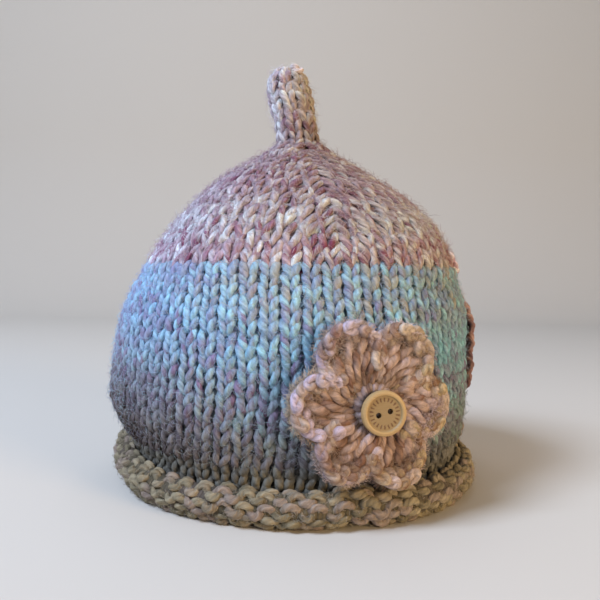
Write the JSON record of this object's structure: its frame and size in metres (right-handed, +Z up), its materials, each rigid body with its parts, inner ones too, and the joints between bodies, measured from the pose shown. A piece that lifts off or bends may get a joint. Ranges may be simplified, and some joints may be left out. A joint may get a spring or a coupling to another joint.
{
  "type": "tea cosy",
  "caption": "Hand-knitted tea cosy with a rolled hem, side openings for spout and handle, a gathered crown with a stalk, and a crocheted flower with a wooden button.",
  "frame": {"origin": "on the surface the hem stands on, below the middle of the whole object's box", "axes": "+Z up to the stalk, +X towards the handle opening, -X towards the spout opening, -Y towards the front with the flower"},
  "size_m": [0.155, 0.1562, 0.1715],
  "materials": {
    "knit_yarn": "soft marled wool-blend yarn",
    "flower_yarn": "soft rose-beige yarn",
    "button_wood": "pale smooth wood with burnt marks"
  },
  "bodies": {
    "root": {"cosy_shell": "knit_yarn", "flower": "flower_yarn", "button": "button_wood"}
  },
  "joints": []
}
